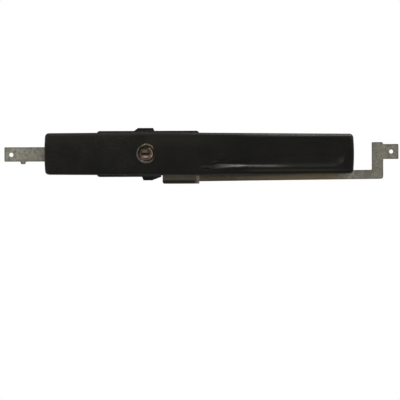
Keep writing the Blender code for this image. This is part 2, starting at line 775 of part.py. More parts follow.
def rivet_mesh(name, seat):
    """A domed rivet whose head stands on the level seat and whose tail ends inside the plate."""
    under = seat + FIT
    profile = [(0.0, under + RIVET_HEAD)]
    profile += [(RIVET_HEAD_RADIUS * out, under + RIVET_HEAD * up) for out, up in RIVET_DOME]
    profile += [
        (RIVET_HEAD_RADIUS, under), (RIVET_RADIUS, under), (RIVET_RADIUS, TAIL_FIT), (0.0, TAIL_FIT),
    ]
    return solid_turn(name, profile)


def build_bracket(root, surface, fastener):
    rear = HOUSING_REAR
    front = BAR_FRONT + TURN_FIT
    thick = BRACKET_THICK
    bend = BEND_SHARE * thick
    inner = BRACKET_BOTTOM + thick
    section = round_corners([
        (BRACKET_BOTTOM, rear, bend), (BRACKET_BOTTOM, front + thick, bend),
        (BRACKET_TOP, front + thick, 0.0), (BRACKET_TOP, front, 0.0),
        (inner, front, 0.0), (inner, rear + thick, 0.0),
        (PLATE_BOTTOM, rear + thick, 0.0), (PLATE_BOTTOM, rear, 0.0),
    ])
    mesh = folded_sheet("bar_guide_bracket", section, BRACKET_LEFT, HOUSING_RIGHT)
    bracket = add_piece("bar_guide_bracket", mesh, root, surface)
    reach = BRACKET_CORNER - CORNER_BITE
    turns = [CORNER_START + CORNER_SWEEP * i / CORNER_STEPS for i in range(CORNER_STEPS + 1)]
    corner = [(
        BRACKET_LEFT + reach - BRACKET_CORNER * math.sin(turn),
        BRACKET_BOTTOM + reach - BRACKET_CORNER * math.cos(turn),
    ) for turn in turns]
    corner += [
        (BRACKET_LEFT - CUT_OVER, corner[-1][1]), (BRACKET_LEFT - CUT_OVER, BRACKET_BOTTOM - CUT_OVER),
        (corner[0][0], BRACKET_BOTTOM - CUT_OVER),
    ]
    trim = fill_outline("bracket_corner", [corner], rear - CUT_OVER, front + thick + CUT_OVER)
    combine(bracket, add_cutter("bracket_corner", trim, root))
    rivet = rivet_mesh("bracket_rivet", rear + thick)
    for number, (x, y) in enumerate(bracket_rivet_places(), 1):
        hole = rod(f"bracket_hole_{number}", RIVET_RADIUS + FIT, rear - CUT_OVER, rear + thick + CUT_OVER)
        combine(bracket, add_cutter(f"bracket_hole_{number}", hole, root, (x, y, 0.0)))
        piece = add_piece(f"bracket_rivet_{number}", rivet.copy(), root, fastener, (x, y, 0.0))
        smooth(piece)
    smooth(bracket)
    return bracket


def build_strap(root, surface, fastener):
    rear = HOUSING_REAR
    thick = STRAP_THICK
    front = BAR_FRONT + SLIDE_FIT
    low = LEFT_BAR_BOTTOM - SLIDE_FIT
    high = LEFT_BAR_TOP + SLIDE_FIT
    foot = thick + STRAP_FOOT
    bend = BEND_SHARE * thick
    section = round_corners([
        (low - foot, rear, 0.0), (low, rear, 0.0), (low, front, 0.0), (high, front, 0.0), (high, rear, 0.0),
        (high + foot, rear, 0.0), (high + foot, rear + thick, 0.0), (high + thick, rear + thick, 0.0),
        (high + thick, front + thick, bend), (low - thick, front + thick, bend),
        (low - thick, rear + thick, 0.0), (low - foot, rear + thick, 0.0),
    ])
    mesh = folded_sheet("left_bar_guide", section, STRAP_LEFT, STRAP_RIGHT)
    strap = add_piece("left_bar_guide", mesh, root, surface)
    rivet = rivet_mesh("strap_rivet", rear + thick)
    for number, (x, y) in enumerate(strap_rivet_places(), 1):
        hole = rod(f"strap_hole_{number}", RIVET_RADIUS + FIT, rear - CUT_OVER, rear + thick + CUT_OVER)
        combine(strap, add_cutter(f"strap_hole_{number}", hole, root, (x, y, 0.0)))
        piece = add_piece(f"guide_rivet_{number}", rivet.copy(), root, fastener, (x, y, 0.0))
        smooth(piece)
    smooth(strap)
    return strap


def bowed_end(x, start, end, bow, corner):
    """One slightly bowed end of the lever, from a rounded corner at start to the next at end."""
    points = [(x, start, corner)]
    for i in range(2, BOW_STEPS - 1):
        share = i / BOW_STEPS
        points.append((x + bow * (1.0 - (2.0 * share - 1.0) ** 2), start + (end - start) * share, 0.0))
    points.append((x, end, corner))
    return points


def lever_outline(share):
    """The lever's outline where its front edges have taken a share of their rounding."""
    bottoms = [(x, y + LEVER_LOW_EDGE * share, 0.0) for x, y in LEVER_BOTTOMS]
    tops = [(x, y - line_at(LEVER_TOP_EDGES, x) * share, 0.0) for x, y in reversed(LEVER_TOPS)]
    inset = LEVER_BOW + LEVER_END_EDGE * share
    corner = LEVER_CORNER - LEVER_END_EDGE * share
    right = bowed_end(LEVER_RIGHT - inset, bottoms[-1][1], tops[0][1], LEVER_BOW, corner)
    left = bowed_end(LEVER_LEFT + inset, tops[-1][1], bottoms[0][1], -LEVER_BOW, corner)
    return round_corners(bottoms[1:-1] + right + tops[1:-1] + left, 5)


def lever_form():
    """The lever's outside: a straight wall and front edges that are rounded by growing insets."""
    rows = [[(x, y, LEVER_REAR) for x, y in lever_outline(0.0)]]
    for i in range(EDGE_STEPS + 1):
        turn = math.pi / 2.0 * i / EDGE_STEPS
        level = LEVER_FRONT - LEVER_EDGE_DEPTH * (1.0 - math.sin(turn))
        rows.append([(x, y, level) for x, y in lever_outline(1.0 - math.cos(turn))])
    return loft("lever_handle", rows)


def pocket_loop(left, right):
    bottom = max(line_at(LEVER_BOTTOMS, left), line_at(LEVER_BOTTOMS, right)) + LEVER_WALL
    top = min(line_at(LEVER_TOPS, left), line_at(LEVER_TOPS, right)) - LEVER_WALL
    return rounded_box(left, bottom, right, top, POCKET_CORNER, 2)


def pocket_row(left, right, count):
    width = (right - left - RIB_THICK * (count - 1)) / count
    starts = [left + i * (width + RIB_THICK) for i in range(count)]
    return [pocket_loop(start, start + width) for start in starts]


def smooth_loop(points, per_span):
    """Run an even curve through a closed row of points."""
    loop = []
    count = len(points)
    for i in range(count):
        p0, p1, p2, p3 = [Vector(points[(i + k - 1) % count]) for k in range(4)]
        for k in range(per_span):
            t = k / per_span
            point = 0.5 * (
                2.0 * p1 + (p2 - p0) * t + (2.0 * p0 - 5.0 * p1 + 4.0 * p2 - p3) * t ** 2
                + (3.0 * p1 - p0 - 3.0 * p2 + p3) * t ** 3)
            loop.append((point.x, point.y))
    return loop


def dish_floor_depth(x):
    """The bowl is deepest at its left and grows shallower to the right."""
    return DISH_DEPTH * (1.0 - DISH_FADE * (x - DISH_START) / (LEVER_RIGHT - DISH_START))


def dish_wall_share(y, inset):
    """How far down the wall is at one inset, for a rim point at height y."""
    steep = math.sin(inset * math.pi / 2.0)
    easy = (1.0 - math.cos(inset * math.pi)) / 2.0
    height = (y - DISH_STEEP_BELOW) / (DISH_EASY_ABOVE - DISH_STEEP_BELOW)
    return steep + (easy - steep) * DISH_EASY_SHARE * min(max(height, 0.0), 1.0)


def dish_row(rim, inset, above=0.0):
    """One row of the bowl's wall, moved in from the rim by a share of the way to the floor."""
    row = []
    for x, y in rim:
        floor_x = DISH_CENTRE[0] + (x - DISH_CENTRE[0]) * DISH_FLOOR_SCALE[0]
        floor_y = DISH_CENTRE[1] + (y - DISH_CENTRE[1]) * DISH_FLOOR_SCALE[1]
        place = (x + (floor_x - x) * inset, y + (floor_y - y) * inset)
        depth = dish_floor_depth(place[0]) * dish_wall_share(y, max(inset, 0.0))
        row.append((*place, LEVER_FRONT + above - depth))
    return row


def dish_mesh():
    """A long bowl for the fingers, steep along its lower side and easy along its upper side."""
    rim = smooth_loop([(x * MM, y * MM) for x, y in DISH_RIM], 4)
    rows = [dish_row(rim, DISH_LIP_SHARE, CUT_OVER)]
    rows += [dish_row(rim, inset) for inset in DISH_STEPS]
    return loft("finger_dish", rows)


def flange_outline(grow):
    half = FLANGE_HALF_WIDTH + grow
    reach = FLANGE_HALF_LENGTH + grow
    return rounded_box(-half, -reach, half, reach, half * 0.98, 6)


def flange_screw_places():
    reach = FLANGE_HALF_LENGTH - SMALL_HEAD_RADIUS - FLANGE_SCREW_EDGE
    return ((0.0, reach), (0.0, -reach))


def bolt_room_outline():
    side = BOLT_HALF_WIDTH + FIT
    back = BOLT_BACK - FIT
    shoulder = -TAIL_X + TAIL_SLOT_HALF + BOLT_TINE + BOLT_THROW + 2.0 * FIT
    return [
        (back, -side), (LEVER_BOSS_RADIUS + CUT_OVER, -side), (LEVER_BOSS_RADIUS + CUT_OVER, side),
        (shoulder, side), (shoulder, BOLT_TOP + FIT), (back, BOLT_TOP + FIT),
    ]


def build_lever(pivot, surface):
    lever = add_piece("lever_handle", lever_form(), pivot, surface)
    combine(lever, add_cutter("finger_dish", dish_mesh(), pivot))
    low = LEVER_REAR - CUT_OVER
    left_end = LEVER_LEFT + LEVER_BOW + LEVER_WALL
    right_end = LEVER_RIGHT - LEVER_BOW - LEVER_WALL
    centre = pocket_loop(-CENTRE_POCKET_HALF, CENTRE_POCKET_HALF)
    boss = circle((0.0, 0.0), LEVER_BOSS_RADIUS, ROUND_STEPS)
    deep = pocket_row(left_end, -CENTRE_POCKET_HALF - RIB_THICK, LEFT_POCKET_COUNT)
    deep.append(pocket_loop(CENTRE_POCKET_HALF + RIB_THICK, DISH_START - RIB_THICK))
    deep += [centre, boss]
    deep_tool = fill_outline("deep_pockets", deep, low, LEVER_INNER)
    combine(lever, add_cutter("deep_pockets", deep_tool, pivot))
    shallow = pocket_row(DISH_START, right_end, RIGHT_POCKET_COUNT)
    shallow_tool = fill_outline("dish_pockets", shallow, low, LEVER_INNER - DISH_DEPTH)
    combine(lever, add_cutter("dish_pockets", shallow_tool, pivot))
    face = rod("boss_face", LEVER_BOSS_RADIUS + FIT, low, LEVER_BOSS_REAR, ROUND_STEPS)
    combine(lever, add_cutter("boss_face", face, pivot))
    cut_lock_seat(lever, pivot)
    smooth(lever, 40.0)
    return lever


def cut_lock_seat(lever, pivot):
    seat = solid_turn("cylinder_seat", [
        (0.0, BEZEL_FRONT + CUT_OVER), (BEZEL_RADIUS + FIT, BEZEL_FRONT + CUT_OVER),
        (BEZEL_RADIUS + FIT, BEZEL_REAR - FIT), (CYLINDER_RADIUS + FIT, BEZEL_REAR - FIT),
        (CYLINDER_RADIUS + FIT, CYLINDER_REAR - FIT), (0.0, CYLINDER_REAR - FIT),
    ], ROUND_STEPS)
    combine(lever, add_cutter("cylinder_seat", seat, pivot))
    room = fill_outline("bolt_room", [bolt_room_outline()], BOLT_REAR - FIT, BOLT_FRONT + 2.0 * FIT)
    combine(lever, add_cutter("bolt_room", room, pivot))
    pocket = fill_outline("flange_pocket", [flange_outline(FIT)], LEVER_REAR - CUT_OVER, FLANGE_FRONT + FIT)
    combine(lever, add_cutter("flange_pocket", pocket, pivot))
    for number, (x, y) in enumerate(flange_screw_places(), 1):
        pilot = rod(f"flange_pilot_{number}", SMALL_SCREW_RADIUS + FIT, FLANGE_FRONT, BOLT_FRONT - FIT)
        combine(lever, add_cutter(f"flange_pilot_{number}", pilot, pivot, (x, y, 0.0)))


def build_spindle(pivot, surface):
    flange = fill_outline("drive_spindle", [flange_outline(0.0)], FLANGE_REAR, FLANGE_FRONT)
    spindle = add_piece("drive_spindle", flange, pivot, surface)
    inside_flange = FLANGE_REAR + FLANGE_THICK / 2.0
    shaft = rod("spindle_shaft", SPINDLE_RADIUS, ROTOR_FRONT + FIT, inside_flange, ROUND_STEPS)
    combine(spindle, add_cutter("spindle_shaft", shaft, pivot), "UNION")
    tang_rear = ROTOR_REAR + TAIL_FIT
    tang = block("spindle_tang", -TANG_HALF, -TANG_HALF, tang_rear, TANG_HALF, TANG_HALF, BAR_FRONT)
    combine(spindle, add_cutter("spindle_tang", tang, pivot), "UNION")
    thread = rod("spindle_thread", SCREW_RADIUS + FIT, ROTOR_REAR - CUT_OVER, END_SCREW_TIP + FIT)
    combine(spindle, add_cutter("spindle_thread", thread, pivot))
    depth = SMALL_HEAD_RADIUS - SMALL_SCREW_RADIUS
    for number, (x, y) in enumerate(flange_screw_places(), 1):
        hole = solid_turn(f"flange_hole_{number}", [
            (0.0, FLANGE_FRONT + CUT_OVER), (SMALL_SCREW_RADIUS + FIT, FLANGE_FRONT + CUT_OVER),
            (SMALL_SCREW_RADIUS + FIT, FLANGE_REAR + depth), (SMALL_HEAD_RADIUS + FIT, FLANGE_REAR),
            (SMALL_HEAD_RADIUS + FIT, FLANGE_REAR - CUT_OVER), (0.0, FLANGE_REAR - CUT_OVER),
        ])
        combine(spindle, add_cutter(f"flange_hole_{number}", hole, pivot, (x, y, 0.0)))
    smooth(spindle)
    return spindle


def build_flange_screws(pivot, surface):
    length = BOLT_FRONT - 2.0 * FIT - FLANGE_REAR - FIT
    mesh = countersunk_mesh("flange_screw", SMALL_HEAD_RADIUS, SMALL_SCREW_RADIUS, length)
    for number, (x, y) in enumerate(flange_screw_places(), 1):
        screw = add_piece(f"flange_screw_{number}", mesh.copy(), pivot, surface, (x, y, FLANGE_REAR + FIT))
        smooth(screw)


def build_rotor(pivot, surface):
    side = math.acos(EAR_SIDE / ROTOR_RADIUS)
    loop = [(x, ROTOR_RADIUS + rise) for x, rise in TOP_EAR]
    loop += rotor_arc(side, -EAR_TAIL)
    loop += [(x, -ROTOR_RADIUS - drop) for x, drop in LOW_EAR]
    loop += rotor_arc(side - math.pi, -EAR_TAIL - math.pi)
    drive = PIN_RADIUS + PIN_FIT
    tang = TANG_HALF + FIT
    holes = [
        box_loop(-tang, -tang, tang, tang),
        circle((-PIN_X, PIN_Y), drive), circle((PIN_X, -PIN_Y), drive),
    ]
    mesh = fill_outline("drive_rotor", [loop] + holes, ROTOR_REAR, ROTOR_FRONT)
    rotor = add_piece("drive_rotor", mesh, pivot, surface)
    smooth(rotor)
    return rotor


def rotor_arc(start, end):
    turns = [start + (end - start) * i / ARC_STEPS for i in range(ARC_STEPS + 1)]
    return [(ROTOR_RADIUS * math.cos(a), ROTOR_RADIUS * math.sin(a)) for a in turns]


def build_drive_pins(pivot, surface):
    mesh = rod("drive_pin", PIN_RADIUS, ROTOR_REAR + TAIL_FIT, PIN_FRONT, SMALL_STEPS, PIN_CHAMFER)
    upper = add_piece("upper_drive_pin", mesh, pivot, surface, (-PIN_X, PIN_Y, 0.0))
    lower = add_piece("lower_drive_pin", mesh.copy(), pivot, surface, (PIN_X, -PIN_Y, 0.0))
    smooth(upper)
    smooth(lower)


def build_end_fastening(pivot, surface):
    washer_front = ROTOR_REAR - FIT
    washer_rear = washer_front - END_WASHER_THICK
    bore = SCREW_RADIUS + FIT
    ring = hollow_turn("end_washer", [
        (END_WASHER_RADIUS, washer_front), (END_WASHER_RADIUS, washer_rear), (bore, washer_rear),
        (bore, washer_front),
    ], ROUND_STEPS)
    washer = add_piece("end_washer", ring, pivot, surface)
    smooth(washer)
    head_front = washer_rear - FIT
    head_rear = head_front - END_HEAD
    point = SCREW_RADIUS * SCREW_POINT_SHARE
    mesh = solid_turn("end_screw", [
        (0.0, END_SCREW_TIP), (point, END_SCREW_TIP), (SCREW_RADIUS, END_SCREW_TIP - point),
        (SCREW_RADIUS, head_front), (END_HEAD_RADIUS, head_front),
        (END_HEAD_RADIUS, head_front - END_HEAD * END_RIM_SHARE),
        (END_HEAD_RADIUS * END_CROWN_SHARE, head_rear), (0.0, head_rear),
    ])
    screw = add_piece("end_screw", mesh, pivot, surface)
    floor = head_front - END_HEAD * END_CROSS_SHARE
    cross = cross_mesh("end_cross", END_HEAD_RADIUS * CROSS_REACH_SHARE, -CUT_OVER, floor)
    combine(screw, add_cutter("end_cross", cross, pivot))
    smooth(screw)


def build_bezel(pivot, surface):
    bore = PLUG_NOSE_RADIUS + FIT
    lip = BEZEL_RADIUS - BEZEL_LIP
    edge = BEZEL_EDGE
    web = BEZEL_REAR + BEZEL_WEB
    mesh = hollow_turn("cylinder_bezel", [
        (lip + edge, BEZEL_FRONT), (BEZEL_RADIUS - edge, BEZEL_FRONT), (BEZEL_RADIUS, BEZEL_FRONT - edge),
        (BEZEL_RADIUS, BEZEL_REAR), (bore, BEZEL_REAR), (bore, web),
        (bore + BEZEL_LEDGE, web + BEZEL_SLOPE), (lip, BEZEL_FRONT - edge),
    ], ROUND_STEPS)
    bezel = add_piece("cylinder_bezel", mesh, pivot, surface)
    smooth(bezel)
    return bezel


def build_cylinder(pivot, surface):
    mesh = hollow_turn("cylinder_body", [
        (CYLINDER_RADIUS, CYLINDER_FRONT), (CYLINDER_RADIUS, CYLINDER_REAR), (PLUG_BORE, CYLINDER_REAR),
        (PLUG_BORE, CYLINDER_FRONT),
    ], ROUND_STEPS)
    body = add_piece("cylinder_body", mesh, pivot, surface)
    smooth(body)
    return body


def build_plug(plug_pivot, surface):
    nose = LEVER_FRONT - PLUG_SET_BACK
    shoulder = CYLINDER_FRONT - FIT
    mesh = solid_turn("key_plug", [
        (0.0, nose), (PLUG_NOSE_RADIUS - PLUG_EDGE, nose), (PLUG_NOSE_RADIUS, nose - PLUG_EDGE),
        (PLUG_NOSE_RADIUS, shoulder), (PLUG_RADIUS, shoulder), (PLUG_RADIUS, CYLINDER_REAR),
        (0.0, CYLINDER_REAR),
    ], ROUND_STEPS)
    plug = add_piece("key_plug", mesh, plug_pivot, surface)
    tail = rod("plug_tail", TAIL_RADIUS, BOLT_REAR, CYLINDER_REAR + CUT_OVER)
    combine(plug, add_cutter("plug_tail", tail, plug_pivot, (-TAIL_X, TAIL_Y, 0.0)), "UNION")
    half = KEYWAY_HEIGHT / 2.0
    slot = rounded_box(-KEYWAY_WIDTH / 2.0, -half, KEYWAY_WIDTH / 2.0, half, half * 0.95, 4)
    keyway = fill_outline("keyway", [slot], nose - KEYWAY_DEPTH, nose + CUT_OVER)
    combine(plug, add_cutter("keyway", keyway, plug_pivot))
    smooth(plug)
    return plug


def build_bolt(bolt_slide, surface):
    slot_root = TAIL_Y - TAIL_RADIUS - FIT
    slot_left = -TAIL_X - TAIL_SLOT_HALF
    slot_right = -TAIL_X + TAIL_SLOT_HALF
    tine_right = slot_right + BOLT_TINE
    loop = [
        (BOLT_BACK, -BOLT_HALF_WIDTH), (BOLT_TIP, -BOLT_HALF_WIDTH), (BOLT_TIP, BOLT_HALF_WIDTH),
        (tine_right, BOLT_HALF_WIDTH), (tine_right, BOLT_TOP), (slot_right, BOLT_TOP),
        (slot_right, slot_root), (slot_left, slot_root), (slot_left, BOLT_TOP), (BOLT_BACK, BOLT_TOP),
    ]
    mesh = fill_outline("locking_bolt", [loop], BOLT_REAR, BOLT_FRONT)
    bolt = add_piece("locking_bolt", mesh, bolt_slide, surface)
    bevel_edges(bolt, BOLT_EDGE)
    return bolt


def left_bar_outline():
    slot_left = -PIN_X - SLOT_HALF
    slot_right = -PIN_X + SLOT_HALF
    tine_right = slot_right + FORK_TINE
    shoulder = HOUSING_LEFT + HOUSING_WALL + LEFT_SHOULDER_GAP
    neck_left = -(ROTOR_RADIUS + BAR_THROW)
    heel_left = -(SPINDLE_RADIUS + HEEL_GAP + BAR_THROW)
    toe_half = LUG_HALF * LUG_TOE_SHARE
    lug_low = LEFT_BAR_BOTTOM - LUG_DROP
    return round_corners([
        (LEFT_TIP, LEFT_BAR_BOTTOM, TIP_CORNER),
        (LUG_CENTRE - LUG_HALF, LEFT_BAR_BOTTOM, LUG_CORNER),
        (LUG_CENTRE - toe_half, lug_low, SLOT_CORNER),
        (LUG_CENTRE + toe_half, lug_low, SLOT_CORNER),
        (LUG_CENTRE + LUG_HALF, LEFT_BAR_BOTTOM, LUG_CORNER),
        (neck_left - LEFT_NECK_RUN, LEFT_BAR_BOTTOM, NECK_CORNER),
        (neck_left, LEFT_NECK_BOTTOM, NECK_CORNER),
        (heel_left, LEFT_NECK_BOTTOM, HEEL_CORNER),
        (heel_left, FORK_HEEL, HEEL_CORNER),
        (tine_right, FORK_HEEL, HEEL_CORNER),
        (tine_right, FORK_TOP, TIP_CORNER),
        (slot_right, FORK_TOP, TINE_CORNER),
        (slot_right, SLOT_ROOT, SLOT_CORNER),
        (slot_left, SLOT_ROOT, SLOT_CORNER),
        (slot_left, FORK_TOP, TINE_CORNER),
        (shoulder + LEFT_SHOULDER_RUN, FORK_TOP, NECK_CORNER),
        (shoulder, LEFT_BAR_TOP, NECK_CORNER),
        (LEFT_TIP, LEFT_BAR_TOP, TIP_CORNER),
    ], 3)


def build_left_bar(slide, surface):
    loops = [left_bar_outline(), circle(LEFT_HOLE, LEFT_HOLE_RADIUS)]
    mesh = fill_outline("left_lock_bar", loops, BAR_REAR, BAR_FRONT)
    bar = add_piece("left_lock_bar", mesh, slide, surface)
    coin = block(
        "left_coin", LEFT_TIP - CUT_OVER, LEFT_BAR_BOTTOM - CUT_OVER, BAR_REAR - CUT_OVER, LEFT_COIN,
        LEFT_BAR_TOP + CUT_OVER, BAR_REAR + COIN_DEPTH)
    combine(bar, add_cutter("left_coin", coin, slide))
    bevel_edges(bar, BAR_EDGE)
    return bar


def right_bar_outline():
    slot_left = PIN_X - SLOT_HALF
    slot_right = PIN_X + SLOT_HALF
    tine_left = slot_left - FORK_TINE
    strip_top = RIGHT_STRIP_BOTTOM + RIGHT_STRIP_HEIGHT
    far_bottom = RIGHT_STRIP_BOTTOM + RIGHT_RISE
    far_top = far_bottom + RIGHT_STRIP_HEIGHT
    toe = STEP_LEFT + BAR_THROW + TOE_GAP
    shoulder = HOUSING_RIGHT - RIGHT_SHOULDER_INSET
    return round_corners([
        (tine_left, -FORK_TOP, TIP_CORNER),
        (slot_left, -FORK_TOP, TINE_CORNER),
        (slot_left, -SLOT_ROOT, SLOT_CORNER),
        (slot_right, -SLOT_ROOT, SLOT_CORNER),
        (slot_right, -FORK_TOP, TINE_CORNER),
        (toe - TOE_RUN, -FORK_TOP, NECK_CORNER),
        (toe, RIGHT_STRIP_BOTTOM, NECK_CORNER),
        (HOUSING_RIGHT, RIGHT_STRIP_BOTTOM, 0.0),
        (RIGHT_LEG_RIGHT, far_bottom, LEG_CORNER),
        (RIGHT_LEG_RIGHT, RIGHT_TAB_BOTTOM, TAB_CORNER),
        (RIGHT_TIP, RIGHT_TAB_BOTTOM, TIP_CORNER),
        (RIGHT_TIP, RIGHT_TAB_TOP, TIP_CORNER),
        (RIGHT_LEG_RIGHT, RIGHT_TAB_TOP, TAB_CORNER),
        (RIGHT_LEG_RIGHT - RIGHT_LEG_TAPER, RIGHT_LEG_TOP, TIP_CORNER),
        (RIGHT_LEG_LEFT, RIGHT_LEG_TOP, TIP_CORNER),
        (RIGHT_LEG_LEFT, far_top, TIP_CORNER),
        (HOUSING_RIGHT, strip_top, 0.0),
        (shoulder, strip_top, NECK_CORNER),
        (shoulder - RIGHT_SHOULDER_RUN, -FORK_HEEL, NECK_CORNER),
        (tine_left, -FORK_HEEL, HEEL_CORNER),
    ], 3)


def build_right_bar(slide, surface):
    loops = [right_bar_outline(), circle(RIGHT_HOLE, RIGHT_HOLE_RADIUS)]
    mesh = fill_outline("right_lock_bar", loops, BAR_REAR, BAR_FRONT)
    bar = add_piece("right_lock_bar", mesh, slide, surface)
    coin = block(
        "right_coin", RIGHT_LEG_RIGHT + RIGHT_COIN_INSET, RIGHT_TAB_BOTTOM - CUT_OVER, BAR_REAR - CUT_OVER,
        RIGHT_TIP + CUT_OVER, RIGHT_TAB_TOP + CUT_OVER, BAR_REAR + COIN_DEPTH)
    combine(bar, add_cutter("right_coin", coin, slide))
    bevel_edges(bar, BAR_EDGE)
    return bar


def build_lock():
    root = new_empty("lock_frame", None)
    root.rotation_euler = (math.pi / 2.0, 0.0, 0.0)
    pivot = new_empty("lever_pivot", root)
    plug_pivot = new_empty("plug_pivot", pivot)
    bolt_slide = new_empty("bolt_slide", pivot)
    left_slide = new_empty("left_bar_slide", root)
    right_slide = new_empty("right_bar_slide", root)
    zinc = fastener_steel()
    plate = plate_zinc()
    bars = bar_zinc()
    steel = spindle_steel()
    bronze = cylinder_bronze()
    resin = bush_resin()
    build_back_plate(root, plate)
    build_housing(root, housing_plastic())
    build_bush(root, resin)
    build_washer(root, resin)
    build_housing_screws(root, zinc)
    build_bracket(root, bracket_steel(), zinc)
    build_strap(root, plate, zinc)
    build_lever(pivot, lever_plastic())
    build_spindle(pivot, steel)
    build_flange_screws(pivot, zinc)
    build_rotor(pivot, rotor_black())
    build_drive_pins(pivot, steel)
    build_end_fastening(pivot, zinc)
    build_bezel(pivot, bronze)
    build_cylinder(pivot, bronze)
    build_plug(plug_pivot, plug_bronze())
    build_bolt(bolt_slide, steel)
    build_left_bar(left_slide, bars)
    build_right_bar(right_slide, bars)


build_lock()
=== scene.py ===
import json
import math

import bpy
from mathutils import Matrix, Vector


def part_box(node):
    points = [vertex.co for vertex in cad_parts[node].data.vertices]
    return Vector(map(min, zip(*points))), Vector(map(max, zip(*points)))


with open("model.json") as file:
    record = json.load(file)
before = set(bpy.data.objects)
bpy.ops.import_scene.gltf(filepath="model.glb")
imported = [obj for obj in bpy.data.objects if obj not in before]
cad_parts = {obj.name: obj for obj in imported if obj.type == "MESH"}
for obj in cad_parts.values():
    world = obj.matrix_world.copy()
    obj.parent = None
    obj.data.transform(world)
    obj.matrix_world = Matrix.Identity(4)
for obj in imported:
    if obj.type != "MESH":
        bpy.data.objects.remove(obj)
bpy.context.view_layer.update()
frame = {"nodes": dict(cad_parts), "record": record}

# Where the face of the key plug lies, along Y
PLUG_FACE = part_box("key_plug")[0][1]

# Camera, as the photograph was framed: 400 pixels are 360 mm
VIEW_CENTRE = Vector((0.0482, -0.02, -0.0418))
VIEW_WIDTH = 0.36
VIEW_LENS = 500.0
VIEW_SENSOR = 36.0
VIEW_ROLL = math.radians(0.22)
VIEW_END = 60.0

# Studio
WHITE = (1.0, 1.0, 1.0)
WARM_WHITE = (1.0, 0.99, 0.97)
ROOM_LIGHT = 0.45
FLOOR_LEVEL = -0.45
FLOOR_HALF = 6.0
FLOOR_SEEN = (0.5, 0.5, 0.5)
FLOOR_FOR_LIGHT = (0.78, 0.78, 0.77)

# The floor's own glow: metres from its middle where it starts and stops growing, and how bright there
FLOOR_GLOW = (0.5, 2.5, 0.62, 1.0)

# Area lamps: place, size, watts and colour
LAMPS = {
    "overhead_strip": ((0.30, -0.20, 1.15), (1.1, 0.16), 14.0, WARM_WHITE),
    "front_left": ((-1.5, -2.2, 1.0), (1.0, 0.8), 22.0, WHITE),
    "front_right": ((1.7, -2.2, 0.9), (1.0, 0.8), 22.0, WHITE),
}

# Shading: points closer than WELD are joined, and edges under SHARP_ANGLE look round
WELD = 0.000002
SHARP_ANGLE = math.radians(38.0)

# How open a point just inside the surface is at a sharp edge, and on a flat
OPEN_AT_EDGE = 0.55
OPEN_ON_FLAT = 0.95
OPEN_SAMPLES = 8

# Between these two values lies most of a noise
NOISE_SPAN = (0.3, 0.7)

# Sockets of a mix node that mixes colours
MIX_FIRST, MIX_SECOND = 6, 7
MIX_RESULT = 2

# What a plastic's and a metal's shader has all over
PLASTIC = {"Specular IOR Level": 0.10}
METAL = {"Metallic": 1.0}


def ramp(axis, low, high, at_low=0.0, at_high=1.0):
    """A share that runs from at_low to at_high between two places along an axis of the piece."""
    def share(surface):
        return surface.spread(surface.along(axis), low, high, at_low, at_high)
    return share


def band(axis, low, high, soft):
    """A share of 1 between two places along an axis of the piece, fading out over soft on both sides."""
    def share(surface):
        position = surface.along(axis)
        rise = surface.spread(position, low - soft, low)
        fall = surface.spread(position, high, high + soft, 1.0, 0.0)
        return surface.times(rise, fall)
    return share


def slope(flat, steep):
    """A share of 0 where the piece faces straight out from the door and 1 where it slopes away."""
    def share(surface):
        return surface.spread(surface.along("Y", "Normal"), -flat, -steep)
    return share


def tinted(colour, factor):
    return tuple(factor * part for part in colour)


def sheen_grey(tone):
    """A faintly warm grey laid on black plastic as a painted highlight."""
    return (tone, 0.98 * tone, 0.90 * tone)


def opaque(colour):
    """A colour's three numbers as a socket takes them; another node's output as it is."""
    return (*colour, 1.0) if isinstance(colour, tuple) else colour


# Patches are laid over a piece's colour one after another. Each has its name, its colour and the
# shares that are multiplied to say where it lies, with places in metres along the piece's own axes
LEVER_ARM_PATCHES = {
    # The left end is made paler towards the top.
    "paler upper left": (
        (0.0115, 0.0108, 0.0080), ramp("X", -0.070, -0.045, 0.45, 0.0), ramp("Z", 0.006, 0.012)),
}
LEVER_GRIP_PATCHES = {
    "shoulder beside the arm": (
        (0.0078, 0.0074, 0.0046), ramp("Z", 0.004, 0.013, 0.0, 0.7), ramp("X", 0.040, 0.080, 1.0, 0.0)),
}
LEVER_PAINTED_LIGHT = {
    # A painted highlight along the rounded upper edge, growing towards the right.
    "painted highlight along the upper edge": (
        (0.034, 0.033, 0.029), band("Z", 0.0158, 0.0200, 0.0014), ramp("X", 0.060, 0.150)),
    # Painted light that fills the shade on the sloping walls in the recess's left tip.
    "painted light in the recess's left tip": (
        (0.0150, 0.0140, 0.0115), band("X", 0.050, 0.068, 0.005), band("Z", -0.0125, -0.0072, 0.0012),
        slope(0.990, 0.940)),
    # A painted reflection of the pale floor on the lower edge under the recess.
    "painted reflection on the lower edge under the recess": (
        (0.0135, 0.0128, 0.0066), band("X", 0.105, 0.162, 0.025), band("Z", -0.0157, -0.0150, 0.0009)),
    # Two painted highlights along the recess's lower lip: a faint one at the left and a pale one to its
    # right.
    "faint painted highlight on the lip": (
        sheen_grey(0.026), band("X", 0.0600, 0.0660, 0.014), band("Z", -0.0126, -0.0112, 0.0008)),
    "pale painted highlight on the lip": (
        sheen_grey(0.072), band("X", 0.0725, 0.0790, 0.014), band("Z", -0.0118, -0.0101, 0.0008)),
}
